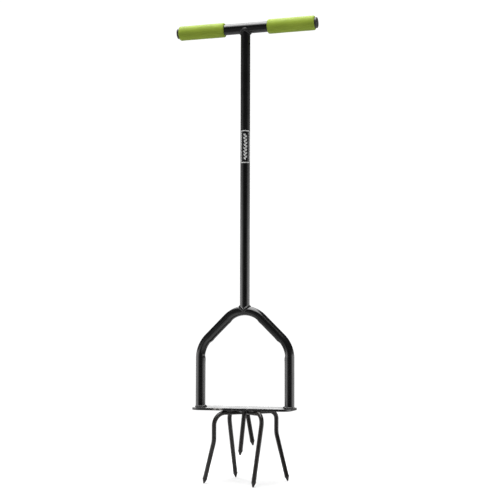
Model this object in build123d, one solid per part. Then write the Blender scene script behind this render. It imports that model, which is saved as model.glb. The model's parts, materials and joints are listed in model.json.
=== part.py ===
"""Lawn aerator fork: a T-handled steel hand tool with a foot plate and six ground tines.

Frame: +Z up the shaft, +X along the handle to its right grip, -Y towards the front.
The origin lies on the shaft's axis, in the plane of the four outer tine tips.
"""
import os
from math import cos, radians, sin, tan

from build123d import *

# ---------------------------------------------------------------- driving dimensions (mm, degrees)
# T-handle
handle_height = 937.7           # ground to the handle tube's axis
handle_tube_length = 295.0
handle_diameter = 22.0
handle_offset = 2.0             # the handle's middle stands this far right of the shaft's axis
handle_wall = 1.5

# Foam grips, pushed on from each end of the handle
grip_length = 100.0
grip_diameter = 30.0
grip_setback = 0.5              # handle tube's end to the grip's outer end
grip_end_radius = 3.0

# End plugs
plug_head_thickness = 4.5
plug_head_radius = 1.6          # rounding of the head's rim
plug_insert_length = 16.0
plug_insert_wall = 1.6
plug_bore_clearance = 0.30      # insert body to the tube's bore, on the radius
plug_rib_count = 3
plug_rib_height = 0.25          # stands out of the insert, inside the clearance
plug_rib_width = 1.6
plug_rib_spacing = 4.2

# Shaft
shaft_diameter = 20.0
shaft_wall = 1.5

# Yoke: one bent tube, from leg to crown to leg
yoke_diameter = 20.0
yoke_wall = 1.8
leg_spacing = 189.7             # centre to centre of the two legs
shoulder_height = 275.7         # where the leg's line meets the slant's line
slant_angle = 44.6
crown_bend_radius = 52.0
shoulder_bend_radius = 57.0

# Foot plate
plate_top_height = 151.3        # ground to the tread's upper face
plate_length = 208.0
plate_depth = 83.0
plate_thickness = 5.0
plate_corner_radius = 20.0
plate_edge_radius = 0.8

# Tines, bent from round rod
rod_diameter = 9.0
point_length = 10.0
point_flat_radius = 1.0
outer_tine_count = 4
kink_bend_radius = 45.0
run_gap = 0.3                   # each run's inner end to the next run
inner_tine_gap = 1.4            # an inner tine's root to the nearest outer tine's run
front_inner_angle = -73.0       # root direction, from +X
back_inner_angle = 88.5
front_inner_tip_height = 56.5
front_inner_lean = 8.9
back_inner_tip_height = 73.4
back_inner_lean = 13.7

# Each outer tine was bent by hand, so the four differ: the reach from the shaft's axis to the
# tine's upright part, the radius of its bend, the height where it starts to lean, and how far
# its tip stands beyond the upright part, first away from the axis and then clockwise, seen
# from above.
back_right_bends = (75.0, 15.0, 97.0, 14.0, 23.5)
back_left_bends = (66.0, 16.0, 121.0, 15.5, 23.5)
front_left_bends = (69.2, 25.0, 86.0, 12.8, 19.5)
front_right_bends = (72.0, 16.0, 121.0, 9.0, 24.0)

# Weld beads
tube_weld_leg = 3.0
plate_weld_leg = 4.5
weld_crest = 0.4                # bead thickness left at its thin edge
rod_weld_radius = 3.0
rod_weld_length = 20.0
rod_weld_inset = 2.0            # from the beads' outer corners to the plate's edge

# Shaft label
label_thickness = 0.2
label_bottom = 651.9
label_height = 70.5
label_wrap = 132.0              # degrees round the shaft
label_heading = -72.0           # centre of the label, from +X

# ---------------------------------------------------------------- worked out from the sizes above
handle_radius = handle_diameter / 2
handle_bore_radius = handle_radius - handle_wall
shaft_radius = shaft_diameter / 2
yoke_radius = yoke_diameter / 2
rod_radius = rod_diameter / 2
leg_x = leg_spacing / 2
crown_apex = shoulder_height + leg_x * tan(radians(slant_angle))
crown_drop = crown_bend_radius * (1 / cos(radians(slant_angle)) - 1)
crown_height = crown_apex - crown_drop          # centreline at the top of the crown
plate_underside = plate_top_height - plate_thickness
run_height = plate_underside - rod_radius       # centreline of the tines' level runs
hub_weld_depth = rod_radius                     # down to the runs' widest line
outer_tine_angles = [45.0 + index * 360.0 / outer_tine_count for index in range(outer_tine_count)]
longest_reach = max(back_right_bends[0], back_left_bends[0], front_left_bends[0], front_right_bends[0])
inner_reaches = [
    (rod_diameter + inner_tine_gap) / sin(radians(abs(angle) - outer_tine_angles[0]))
    for angle in (front_inner_angle, back_inner_angle)
]
hub_weld_radius = max(inner_reaches)            # out to the farther inner tine's axis


def cylinder_between(start, end, radius):
    """A solid rod from one point to another."""
    start, end = Vector(*start), Vector(*end)
    along = end - start
    return extrude(Plane(origin=start, z_dir=along) * Circle(radius), along.length)


def swept_rod(path, radius):
    """A solid rod along a path of lines and arcs."""
    return sweep(Plane(origin=path @ 0, z_dir=path % 0) * Circle(radius), path=path)


def swept_tube(path, radius, wall):
    """A hollow tube along a path of lines and arcs."""
    section = Circle(radius) - Circle(radius - wall)
    return sweep(Plane(origin=path @ 0, z_dir=path % 0) * section, path=path)


# ---------------------------------------------------------------- handle
def handle_end(side, setback=0.0):
    """A point on the handle's axis, set back from its left (-1) or right (1) end."""
    return (handle_offset + side * (handle_tube_length / 2 - setback), 0, handle_height)


def handle_solid(extra=0.0):
    """The handle tube's full outer cylinder, grown by extra on the radius."""
    return cylinder_between(handle_end(-1), handle_end(1), handle_radius + extra)


def make_handle_tube():
    return handle_solid() - cylinder_between(handle_end(-1), handle_end(1), handle_bore_radius)


def make_grip(side):
    """A foam sleeve on the handle tube; side is -1 for left and +1 for right."""
    ends = handle_end(side, grip_setback + grip_length), handle_end(side, grip_setback)
    sleeve = cylinder_between(*ends, grip_diameter / 2)
    rims = sleeve.edges().filter_by(GeomType.CIRCLE)
    sleeve = fillet(rims, grip_end_radius)
    return sleeve - cylinder_between(*ends, handle_radius)


def make_end_plug(side):
    """A moulded plug: a rounded head, and a ribbed hollow insert inside the tube."""
    insert_radius = handle_bore_radius - plug_bore_clearance
    head = Cylinder(handle_radius, plug_head_thickness, align=(Align.CENTER, Align.CENTER, Align.MIN))
    rim = head.edges().filter_by(GeomType.CIRCLE).sort_by(Axis.Z)[-1]
    head = fillet(rim, plug_head_radius)
    down = (Align.CENTER, Align.CENTER, Align.MAX)
    plug = head + Cylinder(insert_radius, plug_insert_length, align=down)
    for index in range(plug_rib_count):
        rib_z = -plug_rib_spacing * (index + 0.6)
        plug += Pos(0, 0, rib_z) * Cylinder(insert_radius + plug_rib_height, plug_rib_width)
    hollow = Cylinder(insert_radius - plug_insert_wall, plug_insert_length, align=down)
    plug -= hollow
    place = Plane(origin=handle_end(side), z_dir=(side, 0, 0))
    return place * plug


# ---------------------------------------------------------------- shaft and yoke
def yoke_path():
    foot = plate_top_height
    corners = [
        (-leg_x, 0, foot),
        (-leg_x, 0, shoulder_height),
        (0, 0, crown_apex),
        (leg_x, 0, shoulder_height),
        (leg_x, 0, foot),
    ]
    return FilletPolyline(*corners, radius=[shoulder_bend_radius, crown_bend_radius, shoulder_bend_radius])


def crown_solid(extra=0.0):
    """The yoke's full outer shape round its crown, grown by extra on the radius."""
    return swept_rod(yoke_path(), yoke_radius + extra)


def make_yoke_tube():
    return swept_tube(yoke_path(), yoke_radius, yoke_wall)


def shaft_solid(extra=0.0):
    """The shaft's full outer cylinder between the crown's and the handle's centrelines."""
    return cylinder_between((0, 0, crown_height), (0, 0, handle_height), shaft_radius + extra)


def make_shaft_tube():
    """The shaft, coped over the crown at its foot and under the handle at its head."""
    bore = cylinder_between((0, 0, crown_height), (0, 0, handle_height), shaft_radius - shaft_wall)
    return shaft_solid() - bore - handle_solid() - crown_solid()


def make_weld_handle_shaft():
    bead = shaft_solid(tube_weld_leg) & handle_solid(tube_weld_leg)
    return bead - handle_solid() - shaft_solid()


def make_weld_shaft_yoke():
    bead = shaft_solid(tube_weld_leg) & crown_solid(tube_weld_leg)
    return bead - crown_solid() - shaft_solid()


def make_shaft_label():
    """A thin printed wrap on the shaft's front."""
    heading = radians(label_heading)
    ring = Circle(shaft_radius + label_thickness) - Circle(shaft_radius)
    half_wrap = radians(label_wrap / 2)
    reach = 3 * shaft_radius
    wedge = Polygon(
        (0, 0),
        (reach * cos(heading - half_wrap), reach * sin(heading - half_wrap)),
        (reach * cos(heading + half_wrap), reach * sin(heading + half_wrap)),
        align=None,
    )
    return Pos(0, 0, label_bottom) * extrude(ring & wedge, label_height)


# ---------------------------------------------------------------- foot plate
def plate_outline():
    return RectangleRounded(plate_length, plate_depth, plate_corner_radius)


def make_foot_plate():
    plate = Pos(0, 0, plate_underside) * extrude(plate_outline(), plate_thickness)
    rims = plate.edges().group_by(Axis.Z)[0] + plate.edges().group_by(Axis.Z)[-1]
    return fillet(rims, plate_edge_radius)


def make_weld_leg(side):
    """A fillet bead where a leg stands on the foot plate, cut short at the plate's edge."""
    upward = (Align.CENTER, Align.CENTER, Align.MIN)
    bead = Cone(yoke_radius + plate_weld_leg, yoke_radius + weld_crest, plate_weld_leg, align=upward)
    bead -= Cylinder(yoke_radius, plate_weld_leg, align=upward)
    tread = offset(plate_outline(), -plate_edge_radius)
    above_tread = Pos(0, 0, plate_top_height) * extrude(tread, plate_weld_leg)
    return Pos(side * leg_x, 0, plate_top_height) * bead & above_tread


# ---------------------------------------------------------------- tines
def pointed_rod(corners, radii):
    """A bent rod whose last stretch ends in a blunt cone at the last corner."""
    before, tip = Vector(*corners[-2]), Vector(*corners[-1])
    along = (tip - before).normalized()
    shank_end = tip - along * point_length
    path_points = [*corners[:-1], tuple(shank_end)]
    path = FilletPolyline(*path_points, radius=radii) if radii else Line(*path_points)
    cone = Cone(rod_radius, point_flat_radius, point_length, align=(Align.CENTER, Align.CENTER, Align.MIN))
    return swept_rod(path, rod_radius) + Plane(origin=shank_end, z_dir=along) * cone


def polar(radius, angle, height, side=0.0):
    """A point at a radius and angle; side moves it clockwise, seen from above."""
    turn = radians(angle)
    x = radius * cos(turn) + side * sin(turn)
    y = radius * sin(turn) - side * cos(turn)
    return (x, y, height)


def ground_trim():
    """The ground below the tip plane, which blunts the outer points level."""
    size = 4 * longest_reach
    return Box(size, size, point_length, align=(Align.CENTER, Align.CENTER, Align.MAX))


def make_outer_tine(angle, bends):
    """Level run under the plate, bend, upright part, and a leg leaning out and clockwise."""
    reach, bend_radius, kink_height, lean_out, lean_side = bends
    corners = [
        polar(rod_radius + run_gap, angle, run_height),
        polar(reach, angle, run_height),
        polar(reach, angle, kink_height),
        polar(reach + lean_out, angle, 0.0, lean_side),
    ]
    return pointed_rod(corners, [bend_radius, kink_bend_radius]) - ground_trim()


def make_inner_tine(angle, reach, tip_height, lean):
    """A short straight tine from the plate's underside, close to a run, leaning clockwise."""
    root = polar(reach, angle, plate_underside)
    tip = polar(reach, angle, tip_height, lean)
    above = Vector(*root) + (Vector(*root) - Vector(*tip)).normalized() * rod_diameter
    tine = pointed_rod([tuple(above), tip], [])
    size = 4 * rod_diameter + 2 * reach
    plate_side = Box(size, size, 2 * rod_diameter, align=(Align.CENTER, Align.CENTER, Align.MIN))
    return tine - Pos(0, 0, plate_underside) * plate_side


def make_weld_tine(angle, bends, tine):
    """Two beads that hold a tine's level run to the plate, one on each side of the rod."""
    half_width = rod_radius + run_gap + rod_weld_radius
    to_plate_edge = plate_depth / 2 / abs(sin(radians(angle))) - half_width - rod_weld_inset
    far = min(bends[0] - bends[1], to_plate_edge)
    near = far - rod_weld_length
    size = 4 * longest_reach
    above = Box(size, size, 2 * rod_weld_radius, align=(Align.CENTER, Align.CENTER, Align.MIN))
    above = Pos(0, 0, plate_underside) * above
    beads = []
    for side in (-1, 1):
        offset = side * (rod_radius + run_gap)
        start = polar(near, angle, plate_underside, offset)
        end = polar(far, angle, plate_underside, offset)
        beads.append(cylinder_between(start, end, rod_weld_radius) - above - tine)
    return beads


def make_weld_hub(neighbours):
    """Weld metal in the corners between the four runs, cut clear of the tines and beads it meets."""
    bead = Pos(0, 0, plate_underside - hub_weld_depth) * Cylinder(
        hub_weld_radius, hub_weld_depth, align=(Align.CENTER, Align.CENTER, Align.MIN)
    )
    for angle in outer_tine_angles[:2]:
        slot = Rot(0, 0, angle) * Box(3 * hub_weld_radius, rod_diameter, 4 * hub_weld_depth)
        bead -= Pos(0, 0, plate_underside) * slot
    for neighbour in neighbours:
        bead -= neighbour
    return bead


# ---------------------------------------------------------------- the assembly
outer_tine_bends = {
    "tine_back_right": back_right_bends,
    "tine_back_left": back_left_bends,
    "tine_front_left": front_left_bends,
    "tine_front_right": front_right_bends,
}


def make_parts():
    parts = {
        "handle_tube": make_handle_tube(),
        "shaft_tube": make_shaft_tube(),
        "yoke_tube": make_yoke_tube(),
        "foot_plate": make_foot_plate(),
        "weld_handle_shaft": make_weld_handle_shaft(),
        "weld_shaft_yoke": make_weld_shaft_yoke(),
        "shaft_label": make_shaft_label(),
    }
    for side, name in ((-1, "left"), (1, "right")):
        parts[f"{name}_grip"] = make_grip(side)
        parts[f"{name}_end_plug"] = make_end_plug(side)
        parts[f"weld_{name}_leg"] = make_weld_leg(side)
    for (name, bends), angle in zip(outer_tine_bends.items(), outer_tine_angles):
        parts[name] = make_outer_tine(angle, bends)
        parts[f"weld_{name}"] = make_weld_tine(angle, bends, parts[name])
    front = make_inner_tine(front_inner_angle, inner_reaches[0], front_inner_tip_height, front_inner_lean)
    back = make_inner_tine(back_inner_angle, inner_reaches[1], back_inner_tip_height, back_inner_lean)
    parts["inner_tine_front"] = front
    parts["inner_tine_back"] = back
    run_beads = [bead for name in outer_tine_bends for bead in parts[f"weld_{name}"]]
    parts["weld_hub"] = make_weld_hub([front, back, *run_beads])
    return parts


def solids_of(shape):
    """Every solid in a shape or a list of shapes."""
    if isinstance(shape, list):
        return [solid for item in shape for solid in item.solids()]
    return list(shape.solids())


def export_all():
    os.makedirs("parts", exist_ok=True)
    for name, shape in make_parts().items():
        solids = solids_of(shape)
        whole = solids[0] if len(solids) == 1 else Compound(children=solids)
        export_step(whole, f"parts/{name}.step")


export_all()
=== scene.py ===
"""Lawn aerator fork: the finish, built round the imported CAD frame. +Z up, +X to the right grip."""
import json
import math

import bmesh
import bpy
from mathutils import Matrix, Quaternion, Vector, noise


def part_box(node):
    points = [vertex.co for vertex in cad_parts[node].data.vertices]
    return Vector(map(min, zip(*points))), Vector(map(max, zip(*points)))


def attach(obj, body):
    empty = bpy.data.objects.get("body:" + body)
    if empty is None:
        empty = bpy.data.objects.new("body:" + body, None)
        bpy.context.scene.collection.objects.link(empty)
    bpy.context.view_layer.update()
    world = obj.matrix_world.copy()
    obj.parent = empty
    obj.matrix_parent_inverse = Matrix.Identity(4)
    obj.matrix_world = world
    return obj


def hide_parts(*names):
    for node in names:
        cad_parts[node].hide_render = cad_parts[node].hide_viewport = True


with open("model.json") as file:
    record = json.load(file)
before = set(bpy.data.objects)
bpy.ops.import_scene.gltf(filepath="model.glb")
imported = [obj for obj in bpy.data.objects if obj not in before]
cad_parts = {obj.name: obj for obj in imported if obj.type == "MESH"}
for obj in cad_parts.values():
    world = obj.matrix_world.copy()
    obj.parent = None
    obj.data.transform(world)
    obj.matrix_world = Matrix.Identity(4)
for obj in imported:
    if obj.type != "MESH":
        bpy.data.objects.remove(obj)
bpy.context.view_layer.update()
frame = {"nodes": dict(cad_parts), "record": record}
NODES = frame["nodes"]
MM = 0.001                      # the sizes below are in millimetres

# ------------------------------------------------------------------ sizes shared with the CAD (mm, degrees)
HANDLE_R = 11.0
HANDLE_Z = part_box("handle_tube")[1][2] / MM - HANDLE_R
HANDLE_MIDDLE = 2.0
HANDLE_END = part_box("handle_tube")[1][0] / MM - HANDLE_MIDDLE
GRIP_R = 15.0
GRIP_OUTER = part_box("right_grip")[1][0] / MM - HANDLE_MIDDLE
GRIP_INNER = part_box("right_grip")[0][0] / MM - HANDLE_MIDDLE
PLUG_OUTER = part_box("right_end_plug")[1][0] / MM - HANDLE_MIDDLE
SHAFT_R = 10.0
YOKE_R = 10.0
PLATE_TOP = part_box("foot_plate")[1][2] / MM
PLATE_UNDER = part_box("foot_plate")[0][2] / MM
PLATE_HALF_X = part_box("foot_plate")[1][0] / MM
PLATE_HALF_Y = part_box("foot_plate")[1][1] / MM
LEG_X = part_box("yoke_tube")[1][0] / MM - YOKE_R
CROWN_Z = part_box("yoke_tube")[1][2] / MM - YOKE_R
SHOULDER_Z = 275.7
SLANT = 44.6
CROWN_BEND = 52.0
SHOULDER_BEND = 57.0
ROD_R = 4.5
RUN_Z = PLATE_UNDER - ROD_R
KINK_BEND = 45.0
RUN_GAP = 0.3
POINT_LENGTH = 9.0
BEAD_R = 3.0
BEAD_LENGTH = 20.0
BEAD_INSET = 2.0
HUB_BEAD_R = 22.0
# An outer tine: direction from +X, reach, bend's radius, kink's height, and its tip's lean, first
# outwards and then clockwise.
OUTER_TINES = {
    "back_right": (45.0, 75.0, 15.0, 97.0, 14.0, 23.5),
    "back_left": (135.0, 66.0, 16.0, 121.0, 15.5, 23.5),
    "front_left": (225.0, 69.2, 25.0, 86.0, 12.8, 19.5),
    "front_right": (315.0, 72.0, 16.0, 121.0, 9.0, 24.0),
}
INNER_GAP = 1.4
INNER_TINES = {                 # direction from +X, tip's height, tip's lean clockwise
    "front": (-73.0, 56.5, 8.9),
    "back": (88.5, 73.4, 13.7),
}
LABEL_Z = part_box("shaft_label")[0][2] / MM
LABEL_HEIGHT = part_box("shaft_label")[1][2] / MM - LABEL_Z
LABEL_HEADING = -72.0
LABEL_WRAP = 132.0


# ------------------------------------------------------------------ camera
def make_camera():
    """A long lens, low and to the tool's right, looking a little upwards."""
    data = bpy.data.cameras.new("camera")
    data.lens = 79.2
    data.sensor_width = 36.0
    data.shift_y = 0.04
    camera = bpy.data.objects.new("camera", data)
    bpy.context.scene.collection.objects.link(camera)
    yaw, pitch, roll = (math.radians(a) for a in (16.574, 3.724, 0.15))
    camera.location = (0.6546, -2.1624, 0.2853)
    forward = Vector((-math.sin(yaw) * math.cos(pitch), math.cos(yaw) * math.cos(pitch), math.sin(pitch)))
    camera.rotation_euler = forward.to_track_quat("-Z", "Y").to_euler()
    camera.rotation_euler.rotate_axis("Z", roll)
    bpy.context.scene.camera = camera


make_camera()


# ------------------------------------------------------------------ shader helpers
class Nodes:
    """A node tree with short calls for the nodes used below."""

    def __init__(self, tree, coordinates="Object"):
        self.tree = tree
        self.place = tree.nodes.new("ShaderNodeTexCoord").outputs[coordinates]

    def link(self, source, target):
        self.tree.links.new(source, target)

    def feed(self, socket, value):
        if isinstance(value, (int, float)):
            socket.default_value = value
        elif isinstance(value, tuple):
            socket.default_value = value if len(socket.default_value) == len(value) else (*value, 1.0)
        else:
            self.link(value, socket)

    def math(self, operation, first, second=0.0):
        node = self.tree.nodes.new("ShaderNodeMath")
        node.operation = operation
        self.feed(node.inputs[0], first)
        self.feed(node.inputs[1], second)
        return node.outputs["Value"]

    def axes(self):
        node = self.tree.nodes.new("ShaderNodeSeparateXYZ")
        self.link(self.place, node.inputs[0])
        return node.outputs["X"], node.outputs["Y"], node.outputs["Z"]

    def along(self, direction):
        node = self.tree.nodes.new("ShaderNodeVectorMath")
        node.operation = "DOT_PRODUCT"
        self.link(self.place, node.inputs[0])
        node.inputs[1].default_value = direction
        return node.outputs["Value"]

    def remap(self, value, low, high, to_low=0.0, to_high=1.0):
        node = self.tree.nodes.new("ShaderNodeMapRange")
        node.interpolation_type = "SMOOTHSTEP"
        for name, number in (("From Min", low), ("From Max", high), ("To Min", to_low), ("To Max", to_high)):
            node.inputs[name].default_value = number
        self.link(value, node.inputs["Value"])
        return node.outputs["Result"]

    def window(self, value, low, high, soft):
        """1 between low and high, falling to 0 over a soft margin outside them."""
        rise = self.remap(value, low - soft, low)
        fall = self.remap(value, high, high + soft, 1.0, 0.0)
        return self.math("MULTIPLY", rise, fall)


class Shader(Nodes):
    """A material's node tree."""

    def __init__(self, name):
        self.material = bpy.data.materials.new(name)
        self.material.use_nodes = True
        super().__init__(self.material.node_tree)
        self.bsdf = self.tree.nodes["Principled BSDF"]

    def set(self, **values):
        for name, value in values.items():
            self.bsdf.inputs[name.replace("_", " ")].default_value = value

    def stretched(self, scale):
        node = self.tree.nodes.new("ShaderNodeMapping")
        node.inputs["Scale"].default_value = scale
        self.link(self.place, node.inputs["Vector"])
        return node.outputs["Vector"]

    def noise(self, scale, detail=4.0, rough=0.55, place=None):
        node = self.tree.nodes.new("ShaderNodeTexNoise")
        node.inputs["Scale"].default_value = scale
        node.inputs["Detail"].default_value = detail
        node.inputs["Roughness"].default_value = rough
        self.link(place or self.place, node.inputs["Vector"])
        return node.outputs["Fac"]

    def cells(self, scale, place=None):
        node = self.tree.nodes.new("ShaderNodeTexVoronoi")
        node.inputs["Scale"].default_value = scale
        self.link(place or self.place, node.inputs["Vector"])
        return node.outputs["Distance"]

    def ramp(self, value, *stops):
        node = self.tree.nodes.new("ShaderNodeValToRGB")
        elements = node.color_ramp.elements
        while len(elements) < len(stops):
            elements.new(0.5)
        for element, (position, colour) in zip(elements, stops):
            element.position = position
            element.color = (*colour, 1.0)
        self.link(value, node.inputs["Fac"])
        return node.outputs["Color"]

    def mix(self, factor, first, second):
        node = self.tree.nodes.new("ShaderNodeMix")
        node.data_type = "RGBA"
        self.link(factor, node.inputs["Factor"])
        self.feed(node.inputs[6], first)
        self.feed(node.inputs[7], second)
        return node.outputs[2]

    def bump(self, *layers):
        """Stacks (height, strength, distance) layers and feeds the shader's normal."""
        normal = None
        for height, strength, distance in layers:
            node = self.tree.nodes.new("ShaderNodeBump")
            node.inputs["Strength"].default_value = strength
            node.inputs["Distance"].default_value = distance
            self.link(height, node.inputs["Height"])
            if normal:
                self.link(normal, node.inputs["Normal"])
            normal = node.outputs["Normal"]
        self.link(normal, self.bsdf.inputs["Normal"])

    def colour(self, socket):
        self.link(socket, self.bsdf.inputs["Base Color"])

    def roughness(self, socket):
        self.link(socket, self.bsdf.inputs["Roughness"])


# ------------------------------------------------------------------ materials
def powder_coat(name, dark, light, rough_low, rough_high, scuffs=0.0):
    """Powder coat: orange peel, cloudy tone, rub marks along the tubes and a few fine scuffs."""
    s = Shader(name)
    tone = s.ramp(s.noise(11.0, 5.0), (0.32, dark), (0.70, light))
    rubs = s.remap(s.noise(70.0, 3.0, place=s.stretched((1.0, 1.0, 0.10))), 0.58, 0.76)
    scratch = s.remap(s.noise(520.0, 2.0, 0.4, place=s.stretched((1.0, 1.0, 0.16))), 0.72, 0.80)
    worn = s.math("MULTIPLY", scratch, s.remap(s.noise(30.0, 3.0), 0.50, 0.66))
    s.colour(s.mix(s.math("MULTIPLY", worn, scuffs), tone, (0.11, 0.105, 0.10)))
    rough = s.remap(s.noise(34.0, 4.0), 0.3, 0.7, rough_low, rough_high)
    s.roughness(s.math("ADD", rough, s.math("MULTIPLY", rubs, 0.08)))
    s.bump((s.noise(520.0, 2.0), 0.05, 0.0003), (s.noise(85.0, 2.0), 0.03, 0.0006))
    s.set(IOR=1.5)
    return s


def plate_coat():
    """The foot plate's coat: as the tubes', with a painted glint on its front rim and small wear chips on
    its rim.
    """
    dark, light = (0.0060, 0.0060, 0.0064), (0.0105, 0.0104, 0.0104)
    s = powder_coat("black_powder_coat_plate", dark, light, 0.22, 0.32, 0.3)
    base = s.bsdf.inputs["Base Color"].links[0].from_socket
    x, y, z = s.axes()
    # Painted highlight: a lighter, noisy patch on the front rim stands in for a glint. The rim chips below
    # are wear.
    front = s.remap(y, -PLATE_HALF_Y * MM, -(PLATE_HALF_Y - 1.2) * MM, 1.0, 0.0)
    glint_span = s.window(x, -0.052, -0.036, 0.004)
    painted_glint = s.math("MULTIPLY", s.math("MULTIPLY", front, glint_span), s.remap(s.noise(260.0, 3.0), 0.30, 0.52))
    reach_x = s.math("DIVIDE", s.math("ABSOLUTE", x), PLATE_HALF_X * MM)
    reach_y = s.math("DIVIDE", s.math("ABSOLUTE", y), PLATE_HALF_Y * MM)
    rim = s.remap(s.math("MAXIMUM", reach_x, reach_y), 0.972, 0.998)
    chips = s.math("MULTIPLY", rim, s.remap(s.noise(190.0, 4.0), 0.64, 0.70))
    # The colour takes the painted glint and the wear chips, whichever is stronger.
    s.colour(s.mix(s.math("MAXIMUM", painted_glint, s.math("MULTIPLY", chips, 0.6)), base, (0.26, 0.25, 0.24)))
    return s.material


def rod_coat():
    """The tines' thinner coat: warm black, duller, greyer and scuffed towards the points."""
    s = powder_coat("coated_rod", (0.0085, 0.0068, 0.0060), (0.0130, 0.0105, 0.0093), 0.34, 0.46, 0.4)
    base = s.bsdf.inputs["Base Color"].links[0].from_socket
    low = s.remap(s.axes()[2], 0.0, 0.045, 1.0, 0.0)
    streak = s.remap(s.noise(240.0, 4.0, 0.6, place=s.stretched((1.0, 1.0, 0.25))), 0.55, 0.72)
    s.colour(s.mix(s.math("MULTIPLY", s.math("MULTIPLY", low, streak), 0.45), base, (0.050, 0.043, 0.038)))
    s.set(Specular_IOR_Level=0.38)
    return s.material


def weld_coat():
    """Coat over weld metal: pooled in the ripples, with spatter grains."""
    s = powder_coat("coated_weld", (0.0070, 0.0070, 0.0074), (0.0150, 0.0148, 0.0145), 0.16, 0.34)
    grains = s.remap(s.cells(620.0), 0.12, 0.40, 1.0, 0.0)
    s.bump((s.noise(300.0, 3.0), 0.30, 0.0006), (grains, 0.25, 0.0003))
    return s.material


def foam():
    """Closed-cell foam: yellow-green, fine open pores with painted shade in their pits, mottled by handling.
    """
    s = Shader("green_foam")
    mottle = s.noise(34.0, 5.0, 0.6)
    dark, middle, light = (0.285, 0.392, 0.036), (0.332, 0.450, 0.043), (0.378, 0.495, 0.054)
    tone = s.ramp(mottle, (0.25, dark), (0.55, middle), (0.80, light))
    pores = s.remap(s.cells(1500.0), 0.10, 0.42)
    grime = s.remap(s.noise(16.0, 3.0), 0.52, 0.74, 0.0, 0.10)
    aged = s.mix(grime, tone, (0.130, 0.160, 0.020))
    # Painted shade: the colour darkens towards the cell centres, the pits that the pore bump sinks.
    s.colour(s.mix(s.math("MULTIPLY", s.math("SUBTRACT", 1.0, pores), 0.30), aged, (0.095, 0.145, 0.010)))
    s.roughness(s.remap(s.noise(120.0, 3.0), 0.3, 0.7, 0.52, 0.68))
    s.bump((pores, 0.22, 0.0002), (s.noise(240.0, 4.0), 0.20, 0.0005))
    s.set(Sheen_Weight=0.04, Sheen_Roughness=0.4, Specular_IOR_Level=0.25)
    return s.material


def moulded_plastic():
    """Black moulded plastic with a fine spark-eroded texture and a faint bloom."""
    s = Shader("black_plastic")
    s.colour(s.ramp(s.noise(60.0, 3.0), (0.3, (0.026, 0.025, 0.024)), (0.7, (0.050, 0.048, 0.046))))
    s.roughness(s.remap(s.noise(200.0, 3.0), 0.3, 0.7, 0.32, 0.48))
    s.bump((s.noise(1400.0, 2.0), 0.18, 0.0002), (s.noise(90.0, 2.0), 0.06, 0.0006))
    return s.material


def label_film():
    """Glossy black printed film with faint wrinkles."""
    s = Shader("printed_label_film")
    s.colour(s.ramp(s.noise(90.0, 3.0), (0.3, (0.0035, 0.0035, 0.0038)), (0.7, (0.0065, 0.0065, 0.0068))))
    s.roughness(s.remap(s.noise(55.0, 3.0), 0.3, 0.7, 0.12, 0.24))
    s.bump((s.noise(45.0, 2.0), 0.05, 0.0008), (s.noise(700.0, 2.0), 0.05, 0.0001))
    return s.material


def label_ink():
    """Silvery white screen print, a little broken up."""
    s = Shader("printed_label_ink")
    thin = s.remap(s.noise(900.0, 3.0), 0.62, 0.74)
    s.colour(s.mix(s.math("MULTIPLY", thin, 0.5), (0.66, 0.67, 0.66), (0.25, 0.25, 0.25)))
    s.roughness(s.remap(s.noise(200.0, 2.0), 0.3, 0.7, 0.34, 0.46))
    s.bump((s.noise(1100.0, 2.0), 0.12, 0.0001), (s.noise(150.0, 2.0), 0.04, 0.0003))
    return s.material


COAT_DARK, COAT_LIGHT = (0.0048, 0.0048, 0.0051), (0.0080, 0.0079, 0.0080)
COAT = powder_coat("black_powder_coat", COAT_DARK, COAT_LIGHT, 0.15, 0.23, 0.3).material
PLATE_COAT = plate_coat()
ROD_COAT = rod_coat()
WELD_COAT = weld_coat()
FOAM = foam()
PLASTIC = moulded_plastic()
FILM = label_film()
INK = label_ink()
BY_SLOT = {"black_powder_coat": COAT, "coated_rod": ROD_COAT, "coated_weld": WELD_COAT,
           "green_foam": FOAM, "black_plastic": PLASTIC, "printed_label": FILM}


def dress_cad():
    """Gives every carried-over CAD node its material."""
    for entry in frame["record"]["subparts"]:
        mesh = NODES[entry["node"]].data
        mesh.materials.clear()
        by_slot = BY_SLOT[entry["material_slot"]]
        mesh.materials.append(PLATE_COAT if entry["node"] == "foot_plate" else by_slot)


dress_cad()


# ------------------------------------------------------------------ mesh helpers
class Shape:
    """Gathers skins, in millimetres, and makes them one object."""

    def __init__(self):
        self.points = []
        self.faces = []

    def skin(self, rings, looped=False):
        """A closed skin over rings of points: looped, or else capped at its first and last ring."""
        base, size = len(self.points), len(rings[0])
        for ring in rings:
            self.points.extend(ring)
        count = len(rings)
        for i in range(count if looped else count - 1):
            first, second = base + i * size, base + (i + 1) % count * size
            for k in range(size):
                n = (k + 1) % size
                self.faces.append((first + k, first + n, second + n, second + k))
        if not looped:
            self.faces.append(tuple(range(base, base + size)))
            self.faces.append(tuple(range(base + (count - 1) * size, base + count * size)))

    def piece(self, name, material, slot, *nodes):
        mesh = bpy.data.meshes.new(name)
        mesh.from_pydata([Vector(p) * MM for p in self.points], [], self.faces)
        build = bmesh.new()
        build.from_mesh(mesh)
        bmesh.ops.recalc_face_normals(build, faces=build.faces)
        build.to_mesh(mesh)
        build.free()
        mesh.shade_smooth()
        mesh.set_sharp_from_angle(angle=math.radians(38.0))
        mesh.materials.append(material)
        made = bpy.data.objects.new(name, mesh)
        bpy.context.scene.collection.objects.link(made)
        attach(made, "root")
        if nodes:
            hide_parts(*nodes)
        return made


def smooth(value):
    value = min(1.0, max(0.0, value))
    return value * value * (3.0 - 2.0 * value)


def line_to(points, end, step):
    """Adds points a step apart from the last one to an end."""
    start = points[-1]
    count = max(1, math.ceil((end - start).length / step))
    points.extend(start.lerp(end, (i + 1) / count) for i in range(count))


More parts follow.
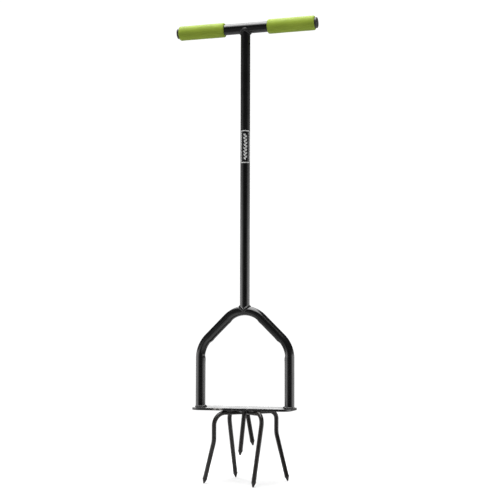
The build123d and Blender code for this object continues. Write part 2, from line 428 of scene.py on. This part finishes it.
def rounded_path(corners, radii, step):
    """Points along straight runs joined by arcs, and where each arc starts and ends, by length."""
    corners = [Vector(c) for c in corners]
    points, bends = [corners[0]], []
    for before, corner, after, radius in zip(corners, corners[1:], corners[2:], radii):
        into, out = (corner - before).normalized(), (after - corner).normalized()
        turn = into.angle(out)
        start = corner - into * radius * math.tan(turn / 2)
        line_to(points, start, step)
        arc_start = path_length(points)
        centre = start + (out - into * into.dot(out)).normalized() * radius
        count = max(8, math.ceil(radius * turn / step))
        for i in range(count):
            spun = Quaternion(into.cross(out), turn * (i + 1) / count) @ (start - centre)
            points.append(centre + spun)
        bends.append((arc_start, path_length(points)))
    line_to(points, corners[-1], step)
    return points, bends


def path_length(points):
    return sum((b - a).length for a, b in zip(points, points[1:]))


def frames(points, side):
    """For each point of a path: how far along it is, and two directions across it."""
    found, run, previous = [], 0.0, None
    for i, point in enumerate(points):
        ahead = points[min(i + 1, len(points) - 1)] - points[max(i - 1, 0)]
        ahead.normalize()
        if previous is not None:
            side = previous.rotation_difference(ahead) @ side
            run += (point - points[i - 1]).length
        side = (side - ahead * side.dot(ahead)).normalized()
        found.append((point, run, side.cross(ahead), side.copy()))
        previous = ahead
    return found


def around(count):
    return [2 * math.pi * k / count for k in range(count)]


def lumps(point, scale, seed=0.0):
    return noise.noise(Vector(point) * scale + Vector((seed, seed * 1.7, -seed)))


def polar(radius, angle, height, side=0.0):
    """A point at a radius and angle; side moves it clockwise, seen from above."""
    turn = math.radians(angle)
    x = radius * math.cos(turn) + side * math.sin(turn)
    y = radius * math.sin(turn) - side * math.cos(turn)
    return Vector((x, y, height))


# ------------------------------------------------------------------ handle
def make_grip(name, side):
    """A foam sleeve: softly rounded ends, a skin that is not quite true, and a bore on the tube."""
    length, rounding = GRIP_OUTER - GRIP_INNER, 3.0
    profile = [(0.35, HANDLE_R), (0.0, HANDLE_R + 0.5), (0.0, GRIP_R - rounding)]
    arc = [math.radians(90.0 * i / 8) for i in range(1, 9)]
    profile += [(rounding * (1 - math.cos(a)), GRIP_R - rounding * (1 - math.sin(a))) for a in arc]
    steps = 44
    span = length - 2 * rounding
    profile += [(rounding + span * i / steps, GRIP_R) for i in range(1, steps)]
    profile += [(length - u, r) for u, r in profile[10::-1]]
    profile += [(length - 1.0 - (length - 2.0) * i / 6, HANDLE_R) for i in range(7)]
    rings = []
    for u, radius in profile:
        ring = []
        for turn in around(96):
            x = HANDLE_MIDDLE + side * (GRIP_INNER + u)
            y, z = math.cos(turn), math.sin(turn)
            dent = 0.0
            if radius > HANDLE_R + 1.0:
                wave = lumps((x, y * radius, z * radius), 0.055, 3.0 * side)
                fine = lumps((x, y * radius, z * radius), 0.25, 9.0)
                dent = 0.14 + 0.20 * wave + 0.05 * fine
                dent = max(0.0, dent)
            ring.append((x, y * (radius - dent), HANDLE_Z + z * (radius - dent)))
        rings.append(ring)
    shape = Shape()
    shape.skin(rings, looped=True)
    piece = shape.piece(name, FOAM, "green_foam", f"{name[5:]}_grip")


def make_plug(name, side):
    """A moulded end plug: rounded head with a shallow dish and gate mark, and a ribbed insert."""
    inner, body = 7.6, 9.2
    head = PLUG_OUTER - HANDLE_END
    profile = [(0.0, 0.05), (0.0, inner - 0.5), (-0.5, inner), (-15.6, inner), (-16.0, inner + 0.4),
               (-16.0, body - 0.6), (-15.2, body)]
    for rib in (-10.9, -6.7, -2.5):
        profile += [(rib - 0.8, body), (rib - 0.5, body + 0.25), (rib + 0.5, body + 0.25), (rib + 0.8, body)]
    profile += [(-0.02, body), (0.0, body + 0.05), (0.0, HANDLE_R - 0.15), (0.15, HANDLE_R)]
    rounding = 1.6
    for i in range(9):
        a = math.radians(90.0 * i / 8)
        profile.append((head - rounding * (1 - math.sin(a)), HANDLE_R - rounding * (1 - math.cos(a))))
    profile += [(head, 8.3), (head - 0.10, 8.0), (head - 0.45, 7.6), (head - 0.50, 7.3), (head - 0.42, 4.0),
                (head - 0.40, 1.8), (head - 0.25, 1.6), (head - 0.22, 1.4), (head - 0.22, 0.05)]
    rings = []
    for u, radius in profile:
        x = HANDLE_MIDDLE + side * (HANDLE_END + u)
        rings.append([(x, radius * math.cos(t), HANDLE_Z + radius * math.sin(t)) for t in around(72)])
    shape = Shape()
    shape.skin(rings)
    shape.piece(name, PLASTIC, "black_plastic", f"{name[5:]}_end_plug")


for hand, hand_side in (("left", -1), ("right", 1)):
    make_grip(f"grip_{hand}", hand_side)
    make_plug(f"plug_{hand}", hand_side)


# ------------------------------------------------------------------ yoke
def make_yoke():
    """The bent tube: the inner wall is squeezed in each bend and swells a little at the bend's ends."""
    foot = PLATE_TOP
    apex = SHOULDER_Z + LEG_X * math.tan(math.radians(SLANT))
    left = [(-LEG_X, 0, foot), (-LEG_X, 0, SHOULDER_Z)]
    right = [(LEG_X, 0, SHOULDER_Z), (LEG_X, 0, foot)]
    corners = [*left, (0, 0, apex), *right]
    path, bends = rounded_path(corners, [SHOULDER_BEND, CROWN_BEND, SHOULDER_BEND], 1.5)
    rings = []
    for point, run, inward, across in frames(path, Vector((0, 1, 0))):
        pinch, swell = 0.0, 0.0
        for (start, end), squeeze in zip(bends, (1.15, 0.70, 1.15)):
            pinch = max(pinch, squeeze * smooth((run - start + 1.0) / 9.0) * smooth((end + 1.0 - run) / 9.0))
            swell += math.exp(-((run - start + 3.0) / 4.0) ** 2) + math.exp(-((run - end - 3.0) / 4.0) ** 2)
        ring = []
        for turn in around(64):
            facing = max(0.0, math.cos(turn)) ** 1.4
            radius = YOKE_R + facing * (0.40 * swell - pinch)
            ring.append(point + (inward * math.cos(turn) + across * math.sin(turn)) * radius)
        rings.append(ring)
    shape = Shape()
    shape.skin(rings)
    shape.piece("yoke_bent_tube", COAT, "black_powder_coat", "yoke_tube")


make_yoke()


# ------------------------------------------------------------------ weld beads
def add_bead(shape, path, outs, width, height, looped, seed, limit=None):
    """A rippled bead along a path. Outs point away from the joined metal; width and height vary by index."""
    count, run, rings = len(path), 0.0, []
    pitch = 1.7
    for i, (point, out) in enumerate(zip(path, outs)):
        if looped:
            ahead = path[(i + 1) % count] - path[i - 1]
        else:
            ahead = path[min(i + 1, count - 1)] - path[max(i - 1, 0)]
        ahead.normalize()
        out = (out - ahead * out.dot(ahead)).normalized()
        side = ahead.cross(out)
        if i:
            run += (point - path[i - 1]).length
        taper = 1.0 if looped else smooth(0.25 + min(i, count - 1 - i) / 6.0)
        wander = 1.0 + 0.12 * lumps(point, 0.35, seed)
        ring = []
        for turn in around(20):
            lift = math.sin(turn)
            phase = run / pitch - 0.45 * lift * lift + 0.25 * lumps(point, 0.8, seed + 5)
            ripple = abs(math.sin(math.pi * phase)) ** 0.7
            tall = height(i) * (0.86 + 0.16 * ripple) * wander if lift > 0 else 0.8 * height(i)
            spot = point + (side * math.cos(turn) * width(i) * wander + out * lift * tall) * taper
            spot += out * 0.12 * lumps(spot, 1.3, seed)
            ring.append(limit(spot) if limit else spot)
        rings.append(ring)
    shape.skin(rings, looped)


def make_saddle_beads():
    """Beads round the shaft's two coped ends, on the handle tube and on the yoke's crown."""
    top_path, top_outs, low_path, low_outs = [], [], [], []
    bend_z = CROWN_Z - CROWN_BEND
    for turn in around(300):
        x, y = SHAFT_R * math.cos(turn), SHAFT_R * math.sin(turn)
        outward = Vector((math.cos(turn), math.sin(turn), 0.0))
        drop = math.sqrt(HANDLE_R ** 2 - y * y)
        top_path.append(Vector((x, y, HANDLE_Z - drop)))
        top_outs.append(outward + Vector((0.0, y, -drop)) / HANDLE_R)
        reach = CROWN_BEND + math.sqrt(max(0.0, YOKE_R ** 2 - y * y))
        spot = Vector((x, y, bend_z + math.sqrt(reach * reach - x * x)))
        spine = Vector((x, 0.0, spot.z - bend_z)).normalized() * CROWN_BEND + Vector((0.0, 0.0, bend_z))
        low_path.append(spot)
        low_outs.append(outward + (spot - spine) / YOKE_R)
    for name, node, path, outs, seed in (
        ("bead_handle_shaft", "weld_handle_shaft", top_path, top_outs, 2.0),
        ("bead_shaft_yoke", "weld_shaft_yoke", low_path, low_outs, 7.0),
    ):
        shape = Shape()
        add_bead(shape, path, outs, lambda i: 3.9, lambda i: 2.3, True, seed)
        shape.piece(name, WELD_COAT, "coated_weld", node)


def make_leg_beads():
    """Fillet beads where the legs stand on the plate, fuller inwards and cut short at the plate's edge."""
    def on_plate(spot):
        edge = PLATE_HALF_X - 0.15
        return Vector((min(edge, max(-edge, spot.x)), spot.y, max(PLATE_TOP - 0.6, spot.z)))

    for hand, side in (("left", -1), ("right", 1)):
        count = 260
        path, outs = [], []
        for turn in around(count):
            outward = Vector((math.cos(turn), math.sin(turn), 0.0))
            path.append(Vector((side * LEG_X, 0.0, PLATE_TOP)) + outward * YOKE_R)
            outs.append(outward + Vector((0.0, 0.0, 1.0)))

        def inner_share(i):
            return 0.5 - 0.5 * side * math.cos(2 * math.pi * i / count)

        def width(i):
            return 2.8 + 1.5 * inner_share(i)

        def height(i):
            return 2.1 + 1.4 * inner_share(i)

        shape = Shape()
        add_bead(shape, path, outs, width, height, True, 11.0 + side, on_plate)
        shape.piece(f"bead_{hand}_leg", WELD_COAT, "coated_weld", f"weld_{hand}_leg")


def make_run_beads():
    """Two short beads along each tine's level run."""
    def under_plate(spot):
        return Vector((spot.x, spot.y, min(PLATE_UNDER, spot.z)))

    to_edge = PLATE_HALF_Y / math.sin(math.radians(45.0)) - ROD_R - RUN_GAP - BEAD_R - BEAD_INSET
    for name, (angle, reach, bend, _, _, _) in OUTER_TINES.items():
        far = min(reach - bend, to_edge)
        shape = Shape()
        for side in (-1, 1):
            offset = side * (ROD_R + RUN_GAP)
            count = 110
            path = []
            for i in range(count):
                left = BEAD_LENGTH * (1.0 - i / (count - 1))
                path.append(polar(far - left, angle, PLATE_UNDER, offset))
            outs = [polar(0.0, angle, -0.8, float(side))] * count
            seed = angle * 0.1 + side
            add_bead(shape, path, outs, lambda i: 2.5, lambda i: 2.3, False, seed, under_plate)
        shape.piece(f"beads_{name}", WELD_COAT, "coated_weld", f"weld_tine_{name}")


def make_hub_bead():
    """Weld metal built up between the four runs and round the inner tines' roots."""
    rings = []
    for i in range(26):
        share = i / 25.0
        radius = HUB_BEAD_R * math.sin(math.radians(90.0 * share)) + 0.02
        ring = []
        for turn in around(72):
            x, y = radius * math.cos(turn), radius * math.sin(turn)
            edge = 1.0 + 0.10 * lumps((x, y, 0.0), 0.11, 21.0)
            depth = 5.6 * math.sqrt(max(0.0, 1.0 - (radius / (HUB_BEAD_R + 0.03)) ** 2))
            depth += 0.5 * lumps((x, y, 0.0), 0.45, 22.0) * (1.0 - share)
            depth += 0.22 * math.sin(radius * 3.6 + 1.5 * lumps((x, y, 0.0), 0.3, 23.0)) * (1.0 - share)
            ring.append((x * edge, y * edge, PLATE_UNDER - max(0.0, depth)))
        rings.append(ring)
    shape = Shape()
    shape.skin(rings)
    shape.piece("bead_hub", WELD_COAT, "coated_weld", "weld_hub")


make_saddle_beads()
make_leg_beads()
make_run_beads()
make_hub_bead()


# ------------------------------------------------------------------ tines
def point_radius(left):
    """The rod's radius at a distance before its tip: a short sheared cone with a slight burr behind it."""
    burr = 0.30 * math.exp(-((left - POINT_LENGTH) / 2.2) ** 2)
    if left >= POINT_LENGTH:
        return ROD_R + burr
    share = max(0.0, left) / POINT_LENGTH
    return 1.0 + (ROD_R - 1.0 + burr) * share ** 0.85


def add_rod(shape, path, seed, lowest, highest):
    """A round bar along a path, sawn at its root and forged to a blunt point at its tip."""
    total = path_length(path)
    side = Vector((0, 0, 1)) if abs((path[1] - path[0]).normalized().z) < 0.7 else Vector((0, 1, 0))
    rings = []
    for point, run, one, two in frames(path, side):
        radius = point_radius(total - run) - 0.35 * max(0.0, 1.0 - run / 0.6)
        ring = []
        for turn in around(32):
            facet = 0.05 * lumps((math.cos(turn) * 2, math.sin(turn) * 2, run * 0.12), 1.0, seed)
            forged = 0.16 * lumps((math.cos(turn) * 2, math.sin(turn) * 2, run * 0.4), 1.0, seed + 3)
            forged *= smooth((16.0 - (total - run)) / 6.0)
            spot = point + (one * math.cos(turn) + two * math.sin(turn)) * (radius + facet + forged)
            spot.z = min(highest, max(lowest, spot.z))
            ring.append(spot)
        rings.append(ring)
    shape.skin(rings)


def make_tines():
    for seed, (name, (angle, reach, bend, kink_z, out, sideways)) in enumerate(OUTER_TINES.items()):
        corners = [
            polar(ROD_R + RUN_GAP, angle, RUN_Z),
            polar(reach, angle, RUN_Z),
            polar(reach, angle, kink_z),
            polar(reach + out, angle, 0.4, sideways),
        ]
        path, _ = rounded_path(corners, [bend, KINK_BEND], 0.9)
        shape = Shape()
        add_rod(shape, path, 31.0 + 4 * seed, 0.0, PLATE_UNDER)
        shape.piece(f"rod_{name}", ROD_COAT, "coated_rod", f"tine_{name}")
    for seed, (name, (angle, tip_z, lean)) in enumerate(INNER_TINES.items()):
        reach = (2 * ROD_R + INNER_GAP) / math.sin(math.radians(abs(angle) - 45.0))
        root, tip = polar(reach, angle, PLATE_UNDER), polar(reach, angle, tip_z, lean)
        path = [root + (root - tip).normalized() * 2.0]
        line_to(path, tip, 0.9)
        shape = Shape()
        add_rod(shape, path, 61.0 + 4 * seed, tip_z - 0.5, PLATE_UNDER)
        shape.piece(f"rod_inner_{name}", ROD_COAT, "coated_rod", f"inner_tine_{name}")


make_tines()


# ------------------------------------------------------------------ shaft label
def on_shaft(arc, height, radius):
    """A point of the label: arc is measured round the shaft from the label's middle, in mm."""
    turn = math.radians(LABEL_HEADING) + arc / (SHAFT_R + 0.2)
    return Vector((radius * math.cos(turn), radius * math.sin(turn), LABEL_Z + height))


def make_label():
    """A film with rounded corners, and a raised print on it: a plain border and a leafy sprig."""
    half = math.radians(LABEL_WRAP / 2) * (SHAFT_R + 0.2) - 0.2
    corner = 2.5
    rows, columns = 60, 28
    rings = []
    for j in range(rows + 1):
        height = 0.1 + (LABEL_HEIGHT - 0.2) * j / rows
        near_end = corner - min(height, LABEL_HEIGHT - height, corner)
        wide = half - corner + math.sqrt(max(0.0, corner ** 2 - near_end ** 2))
        arcs = [wide * (2.0 * k / columns - 1.0) for k in range(columns + 1)]
        outer = [on_shaft(a, height, SHAFT_R + 0.12) for a in arcs]
        inner = [on_shaft(a, height, SHAFT_R - 0.05) for a in reversed(arcs)]
        rings.append(outer + inner)
    film = Shape()
    film.skin(rings)
    film.piece("label_film", FILM, "printed_label", "shaft_label")

    print_low, print_high = SHAFT_R + 0.08, SHAFT_R + 0.17
    print_shape = Shape()

    def stroke(path, wide, looped):
        rings = []
        count = len(path)
        for i, (arc, height) in enumerate(path):
            nxt = path[(i + 1) % count] if looped else path[min(i + 1, count - 1)]
            last = path[i - 1] if looped else path[max(i - 1, 0)]
            along = Vector((nxt[0] - last[0], nxt[1] - last[1])).normalized()
            da, dh = -along.y * wide(i) / 2, along.x * wide(i) / 2
            sides = ((-1, print_low), (1, print_low), (1, print_high), (0, print_high), (-1, print_high))
            rings.append([on_shaft(arc + s * da, height + s * dh, r) for s, r in sides])
        print_shape.skin(rings, looped)

    def edge_between(start, end):
        return [tuple(a + (b - a) * i / 12 for a, b in zip(start, end)) for i in range(1, 12)]

    edge_arc, edge_low, edge_high, bend = 9.9, 2.2, LABEL_HEIGHT - 2.2, 1.8
    border = []
    for cx, cz, start in ((edge_arc - bend, edge_high - bend, 0), (bend - edge_arc, edge_high - bend, 90),
                          (bend - edge_arc, edge_low + bend, 180), (edge_arc - bend, edge_low + bend, 270)):
        corner_arc = [math.radians(start + 90.0 * i / 6) for i in range(7)]
        points = [(cx + bend * math.cos(a), cz + bend * math.sin(a)) for a in corner_arc]
        if border:
            border += edge_between(border[-1], points[0])
        border += points
    border += edge_between(border[-1], border[0])
    stroke(border, lambda i: 1.9, True)

    stem = [(0.5 * math.sin(h * 0.21), h) for h in [7.0 + 55.0 * i / 60 for i in range(61)]]
    stroke(stem, lambda i: 0.95, False)
    leaves = 15
    for leaf in range(leaves):
        lean = 1 if leaf % 2 else -1
        base_h = 8.5 + leaf * 3.5
        base = (0.5 * math.sin(base_h * 0.21), base_h)
        length, steps = 6.0, 12
        turn = math.radians(46.0)
        path = []
        for i in range(steps + 1):
            share = i / steps
            curl = turn * (1.15 - 0.5 * share)
            arc = base[0] + lean * length * share * math.sin(curl)
            path.append((arc, base[1] + length * share * math.cos(curl)))
        stroke(path, lambda i: 0.12 + 2.9 * math.sin(math.pi * min(1.0, i / steps)) ** 0.8, False)
    print_shape.piece("label_print", INK, "printed_label")


make_label()


# ------------------------------------------------------------------ studio
VIEW_YAW = math.radians(16.574)
RIGHTWARD = (math.cos(VIEW_YAW), math.sin(VIEW_YAW), 0.0)
BACKWARD = (-math.sin(VIEW_YAW), math.cos(VIEW_YAW), 0.0)
SIDE_PANEL_START = 0.42         # sideways share of a level direction where the side panels begin


def make_floor():
    """A pale floor that fades out into the white surroundings."""
    rings, radius, segments = 24, 1.5, 96
    points = [(0.0, 0.0, 0.0)]
    faces = []
    for i in range(1, rings + 1):
        for turn in around(segments):
            points.append((radius * i / rings * math.cos(turn), radius * i / rings * math.sin(turn), 0.0))
    for k in range(segments):
        faces.append((0, 1 + k, 1 + (k + 1) % segments))
    for i in range(rings - 1):
        for k in range(segments):
            first, second = 1 + i * segments, 1 + (i + 1) * segments
            faces.append((first + k, second + k, second + (k + 1) % segments, first + (k + 1) % segments))
    mesh = bpy.data.meshes.new("floor")
    mesh.from_pydata(points, [], faces)
    floor = bpy.data.objects.new("floor", mesh)
    bpy.context.scene.collection.objects.link(floor)
    s = Shader("pale_floor")
    s.colour(s.ramp(s.noise(3.0, 3.0), (0.3, (0.84, 0.84, 0.84)), (0.7, (0.87, 0.87, 0.87))))
    length = s.tree.nodes.new("ShaderNodeVectorMath")
    length.operation = "LENGTH"
    s.link(s.place, length.inputs[0])
    s.link(s.remap(length.outputs["Value"], 0.12, 0.90, 0.55, 0.0), s.bsdf.inputs["Alpha"])
    s.set(Roughness=0.85, Specular_IOR_Level=0.1)
    mesh.materials.append(s.material)


def make_world():
    """White round the tool; for light and reflections a dim studio with an overhead panel, two tall side
    panels, a white sweep behind and a pale floor."""
    world = bpy.data.worlds.new("studio")
    bpy.context.scene.world = world
    world.use_nodes = True
    n = Nodes(world.node_tree, "Generated")
    right, back, up = n.along(RIGHTWARD), n.along(BACKWARD), n.along((0.0, 0.0, 1.0))
    level = n.math("SQRT", n.math("SUBTRACT", 1.0, n.math("MULTIPLY", up, up)))
    sideways = n.math("DIVIDE", n.math("ABSOLUTE", right), level)
    spread = n.math("DIVIDE", n.math("SUBTRACT", sideways, SIDE_PANEL_START), 1.0 - SIDE_PANEL_START)
    spread = n.math("POWER", n.math("MAXIMUM", spread, 0.0), 2.2)
    near = n.math("MULTIPLY", n.remap(up, -0.19, -0.13), n.remap(up, 0.075, 0.175, 1.0, 0.0))
    far = n.math("MULTIPLY", n.remap(up, -0.19, -0.13), n.remap(up, 0.10, 0.32, 1.0, 0.0))
    tall = n.math("ADD", n.math("MULTIPLY", near, 2.7), n.math("MULTIPLY", far, 0.7))
    sides = n.math("MULTIPLY", spread, tall)
    panel = n.math("MULTIPLY", n.window(right, -0.36, 0.22, 0.12), n.window(back, -0.50, 0.50, 0.15))
    panel = n.math("MULTIPLY", n.math("MULTIPLY", panel, n.remap(up, 0.1, 0.3)), 8.0)
    sweep = n.math("MULTIPLY", n.remap(back, 0.90, 0.97), n.window(up, -0.10, 0.30, 0.10))
    sweep = n.math("MULTIPLY", sweep, 1.9)
    ground = n.remap(up, -0.24, -0.14, 0.80, 0.0)
    ground = n.math("MULTIPLY", ground, n.remap(sideways, 0.30, 0.60, 1.0, 0.22))
    total = n.math("ADD", n.math("ADD", sides, panel), n.math("ADD", sweep, n.math("ADD", ground, 0.03)))
    room = n.tree.nodes["Background"]
    room.inputs["Color"].default_value = (1.0, 1.0, 1.0, 1.0)
    n.link(total, room.inputs["Strength"])
    white = n.tree.nodes.new("ShaderNodeBackground")
    white.inputs["Color"].default_value = (1.0, 1.0, 1.0, 1.0)
    white.inputs["Strength"].default_value = 1.05
    path = n.tree.nodes.new("ShaderNodeLightPath")
    choose = n.tree.nodes.new("ShaderNodeMixShader")
    n.link(path.outputs["Is Camera Ray"], choose.inputs[0])
    n.link(room.outputs[0], choose.inputs[1])
    n.link(white.outputs[0], choose.inputs[2])
    n.link(choose.outputs[0], n.tree.nodes["World Output"].inputs["Surface"])


make_floor()
make_world()
bpy.context.scene.view_settings.view_transform = "Standard"
